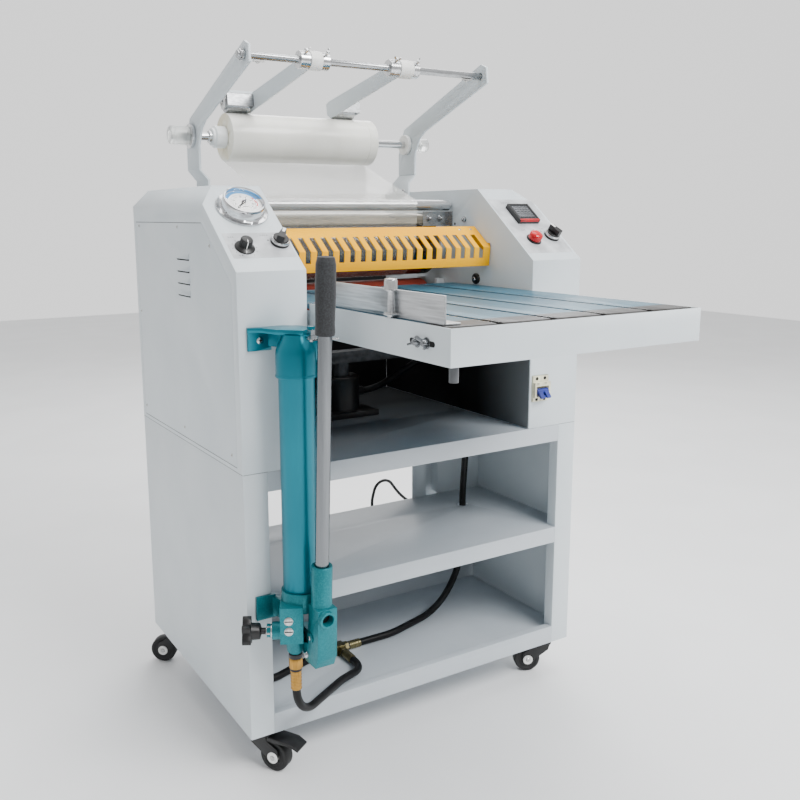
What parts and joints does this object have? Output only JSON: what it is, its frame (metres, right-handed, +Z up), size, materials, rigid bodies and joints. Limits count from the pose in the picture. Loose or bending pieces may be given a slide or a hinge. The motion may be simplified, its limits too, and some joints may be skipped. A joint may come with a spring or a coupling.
{
  "type": "roll laminator",
  "caption": "Floor-standing roll laminator on casters with heated and rubber rollers, feed table, yellow guard, film unwind frame and hydraulic hand pump.",
  "frame": {"origin": "on the floor under the middle of the bounding box, the mains lead left out", "axes": "+Z up, -Y towards the operator and the feed table, +X to the operator's right"},
  "size_m": [0.6878, 1, 1.147],
  "materials": {
    "paint": "light grey powder coat, fine texture",
    "shelf_paint": "light grey powder coat",
    "steel": "turned and zinc-plated steel",
    "chrome": "polished hard chrome",
    "cast": "dark machine castings",
    "teal": "teal hammered paint",
    "yellow": "yellow powder coat",
    "black_plastic": "moulded black plastic",
    "hose_rubber": "black hose rubber",
    "foam": "dark foam rubber",
    "roller_rubber": "ground silicone rubber",
    "brass": "machined brass",
    "aluminium": "bare aluminium",
    "deck": "blue-grey low-friction film",
    "film": "white laminating film",
    "red": "red translucent cap",
    "cream": "cream moulded plastic",
    "blue": "blue moulded plastic",
    "wheel": "black nylon and rubber wheel"
  },
  "bodies": {
    "frame": {"stand_left_side": "paint", "stand_right_side": "paint", "stand_top_shelf": "shelf_paint", "stand_mid_shelf": "shelf_paint", "stand_bottom_shelf": "shelf_paint", "left_housing": "paint", "right_housing": "paint", "left_side_cover": "paint", "right_side_cover": "paint", "feed_tray": "paint", "feed_deck": "deck", "unwind_arm_left": "paint", "unwind_arm_right": "paint", "top_rod": "steel", "film_web": "film", "hydraulic_cylinder": "teal", "drive_motor": "cast", "gauge_case": "chrome", "temperature_controller": "black_plastic", "breaker_body": "cream", "pump_reservoir": "teal", "pump_block": "teal", "hose_tee": "brass", "hose_pump_to_tee": "hose_rubber", "hose_tee_to_cylinder": "hose_rubber", "hose_tee_to_gauge": "hose_rubber", "cord_gland": "black_plastic", "mains_cord": "hose_rubber", "cord_coil": "hose_rubber", "mains_plug": "black_plastic"},
    "guard": {"safety_guard": "yellow"},
    "guide": {"feed_guide": "aluminium"},
    "unwind": {"film_shaft": "steel", "film_roll": "film"},
    "left_press_arm": {"press_arm_left": "steel"},
    "right_press_arm": {"press_arm_right": "steel"},
    "left_press_roller": {"press_roller_left": "steel"},
    "right_press_roller": {"press_roller_right": "steel"},
    "idler": {"idler_roller": "chrome"},
    "hot_roller": {"heated_roller": "chrome"},
    "carriage": {"lift_carriage": "cast"},
    "rubber_roller": {"pressure_roller": "roller_rubber"},
    "needle": {"gauge_needle": "black_plastic"},
    "speed": {"speed_knob": "black_plastic"},
    "selector_left": {"left_selector": "black_plastic"},
    "selector_right": {"right_selector": "black_plastic"},
    "button": {"red_button": "red"},
    "toggle": {"breaker_toggle": "blue"},
    "release": {"release_knob": "black_plastic"},
    "lever": {"pump_lever": "teal", "lever_grip": "foam"},
    "pedal": {"brake_pedal": "black_plastic"},
    "fork_front_left": {"caster_fork_front_left": "black_plastic"},
    "wheel_front_left": {"caster_wheel_front_left": "wheel"},
    "fork_front_right": {"caster_fork_front_right": "black_plastic"},
    "wheel_front_right": {"caster_wheel_front_right": "wheel"},
    "fork_rear_left": {"caster_fork_rear_left": "black_plastic"},
    "wheel_rear_left": {"caster_wheel_rear_left": "wheel"},
    "fork_rear_right": {"caster_fork_rear_right": "black_plastic"},
    "wheel_rear_right": {"caster_wheel_rear_right": "wheel"}
  },
  "joints": [
    {"name": "guard_hinge", "type": "hinge", "parent": "frame", "child": "guard", "pos_m": [0.01086, 0.1033, 0.838], "axis": [1, 0, 0], "range_deg": [-75, 0]},
    {"name": "guide_slide", "type": "slide", "parent": "frame", "child": "guide", "axis": [1, 0, 0], "range_m": [0, 0.15]},
    {"name": "heated_roller_spin", "type": "hinge", "parent": "frame", "child": "hot_roller", "pos_m": [0.01086, 0.2313, 0.823], "axis": [1, 0, 0], "continuous": true},
    {"name": "pressure_roller_spin", "type": "hinge", "parent": "carriage", "child": "rubber_roller", "pos_m": [0.01086, 0.2313, 0.7125], "axis": [1, 0, 0], "continuous": true},
    {"name": "carriage_lift", "type": "slide", "parent": "frame", "child": "carriage", "axis": [0, 0, 1], "range_m": [0, 0.0074]},
    {"name": "idler_spin", "type": "hinge", "parent": "frame", "child": "idler", "pos_m": [0.01086, 0.1743, 0.896], "axis": [1, 0, 0], "continuous": true},
    {"name": "unwind_spin", "type": "hinge", "parent": "frame", "child": "unwind", "pos_m": [0.01086, 0.3483, 1.021], "axis": [1, 0, 0], "continuous": true},
    {"name": "left_press_arm_hinge", "type": "hinge", "parent": "frame", "child": "left_press_arm", "pos_m": [-0.09914, 0.1033, 1.126], "axis": [1, 0, 0], "range_deg": [0, 60]},
    {"name": "right_press_arm_hinge", "type": "hinge", "parent": "frame", "child": "right_press_arm", "pos_m": [0.07487, 0.1033, 1.126], "axis": [1, 0, 0], "range_deg": [0, 60]},
    {"name": "left_press_roller_spin", "type": "hinge", "parent": "left_press_arm", "child": "left_press_roller", "pos_m": [-0.13414, 0.3503, 1.08], "axis": [1, 0, 0], "continuous": true},
    {"name": "right_press_roller_spin", "type": "hinge", "parent": "right_press_arm", "child": "right_press_roller", "pos_m": [0.09087, 0.3503, 1.08], "axis": [1, 0, 0], "continuous": true},
    {"name": "needle_turn", "type": "hinge", "parent": "frame", "child": "needle", "pos_m": [-0.26014, 0.03458, 0.89845], "axis": [0, -0.6156, 0.788], "range_deg": [-270, 0]},
    {"name": "speed_knob_turn", "type": "hinge", "parent": "frame", "child": "speed", "pos_m": [-0.28713, -0.0308, 0.83595], "axis": [0, -0.6156, 0.788], "range_deg": [-150, 150]},
    {"name": "left_selector_turn", "type": "hinge", "parent": "frame", "child": "selector_left", "pos_m": [-0.22714, -0.02292, 0.84211], "axis": [0, -0.6156, 0.788], "range_deg": [0, 70]},
    {"name": "right_selector_turn", "type": "hinge", "parent": "frame", "child": "selector_right", "pos_m": [0.31487, -0.02213, 0.84273], "axis": [0, -0.6156, 0.788], "range_deg": [-45, 45]},
    {"name": "red_button_press", "type": "slide", "parent": "frame", "child": "button", "axis": [0, 0.6156, -0.788], "range_m": [0, 0.0025], "stiffness_N_per_m": 400, "springref_m": -0.0005},
    {"name": "breaker_flip", "type": "hinge", "parent": "frame", "child": "toggle", "pos_m": [0.25287, -0.0747, 0.569], "axis": [1, 0, 0], "range_deg": [-70, 0]},
    {"name": "release_turn", "type": "hinge", "parent": "frame", "child": "release", "pos_m": [-0.26614, -0.1237, 0.267], "axis": [-0.8829, 0.4695, 0], "range_deg": [0, 360]},
    {"name": "lever_stroke", "type": "hinge", "parent": "frame", "child": "lever", "pos_m": [-0.24313, -0.1467, 0.236], "axis": [1, 0, 0], "range_deg": [0, 60]},
    {"name": "swivel_front_left", "type": "hinge", "parent": "frame", "child": "fork_front_left", "pos_m": [-0.28613, -0.0307, 0.064], "axis": [0, 0, 1], "continuous": true},
    {"name": "roll_front_left", "type": "hinge", "parent": "fork_front_left", "child": "wheel_front_left", "pos_m": [-0.27048, -0.05391, 0.025], "axis": [0.829, 0.5592, 0], "continuous": true},
    {"name": "swivel_front_right", "type": "hinge", "parent": "frame", "child": "fork_front_right", "pos_m": [0.30786, -0.0307, 0.064], "axis": [0, 0, 1], "continuous": true},
    {"name": "roll_front_right", "type": "hinge", "parent": "fork_front_right", "child": "wheel_front_right", "pos_m": [0.28249, -0.01887, 0.025], "axis": [-0.4226, -0.9063, 0], "continuous": true},
    {"name": "swivel_rear_left", "type": "hinge", "parent": "frame", "child": "fork_rear_left", "pos_m": [-0.28613, 0.3773, 0.064], "axis": [0, 0, 1], "continuous": true},
    {"name": "roll_rear_left", "type": "hinge", "parent": "fork_rear_left", "child": "wheel_rear_left", "pos_m": [-0.30907, 0.39336, 0.025], "axis": [-0.5736, -0.8192, 0], "continuous": true},
    {"name": "swivel_rear_right", "type": "hinge", "parent": "frame", "child": "fork_rear_right", "pos_m": [0.30786, 0.3773, 0.064], "axis": [0, 0, 1], "continuous": true},
    {"name": "roll_rear_right", "type": "hinge", "parent": "fork_rear_right", "child": "wheel_rear_right", "pos_m": [0.29386, 0.40155, 0.025], "axis": [-0.866, -0.5, 0], "continuous": true},
    {"name": "brake_pedal_press", "type": "hinge", "parent": "fork_front_left", "child": "pedal", "pos_m": [-0.27372, -0.0491, 0.056], "axis": [0.829, 0.5592, 0], "range_deg": [0, 8]}
  ],
  "couplings": [
    {"joint": "pressure_roller_spin", "follows": "heated_roller_spin", "ratio": -1.4118},
    {"joint": "idler_spin", "follows": "heated_roller_spin", "ratio": 6},
    {"joint": "unwind_spin", "follows": "heated_roller_spin", "ratio": -1.3793},
    {"joint": "left_press_roller_spin", "follows": "heated_roller_spin", "ratio": 4},
    {"joint": "right_press_roller_spin", "follows": "heated_roller_spin", "ratio": 4}
  ]
}
